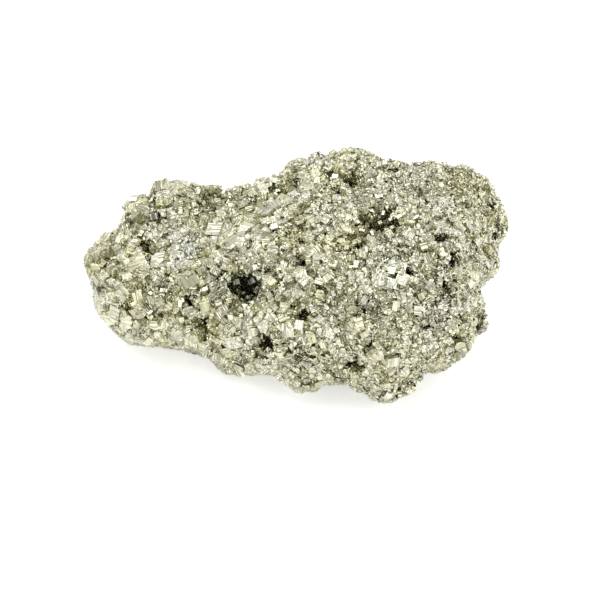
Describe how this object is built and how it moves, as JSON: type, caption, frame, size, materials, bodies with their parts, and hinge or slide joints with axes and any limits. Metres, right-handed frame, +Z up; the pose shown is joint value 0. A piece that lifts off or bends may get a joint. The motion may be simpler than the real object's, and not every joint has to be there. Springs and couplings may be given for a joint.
{
  "type": "pyrite specimen",
  "caption": "Hand specimen of pyrite: a wedge-shaped lump of intergrown brassy crystals with small open vugs, resting on a flat break underneath.",
  "frame": {"origin": "on the resting plane, under the middle of the specimen's box", "axes": "X along the specimen, from its low left end to its tall right end; -Y is its front; +Z up"},
  "size_m": [0.0816, 0.055, 0.034],
  "materials": {
    "pyrite": "bright brassy metallic crystal faces over a dark, rough granular ground"
  },
  "bodies": {
    "root": {"pyrite_cluster": "pyrite"}
  },
  "joints": []
}
